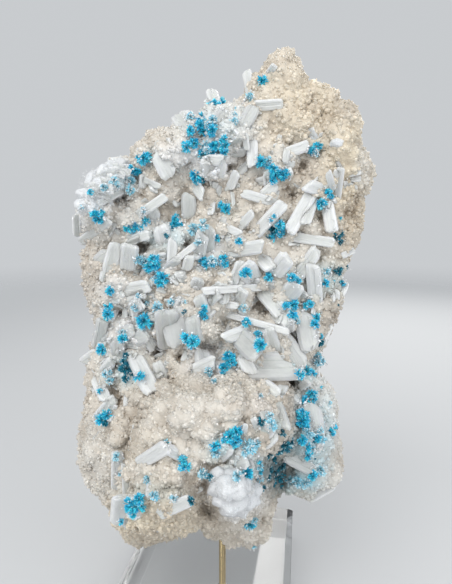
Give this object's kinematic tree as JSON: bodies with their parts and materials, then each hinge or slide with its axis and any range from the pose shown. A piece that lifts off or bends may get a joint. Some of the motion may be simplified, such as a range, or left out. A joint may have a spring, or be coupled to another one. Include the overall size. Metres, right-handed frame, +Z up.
{
  "type": "cavansite mineral specimen on a rod stand",
  "caption": "Upright slab of sugary cream matrix with white stilbite blades and blue cavansite rosettes, standing on a brass rod in a clear bevelled block.",
  "frame": {"origin": "middle of the clear block's underside", "axes": "+Z up, -Y towards the show side of the specimen, +X to the viewer's right"},
  "size_m": [0.1195, 0.127, 0.2442],
  "materials": {
    "matrix": "sugary druse, sparkling, unpolished",
    "brass": "drawn rod, lightly polished",
    "acrylic": "clear, polished"
  },
  "bodies": {
    "root": {"cavansite_specimen": "matrix", "rod": "brass", "base": "acrylic"}
  },
  "joints": []
}
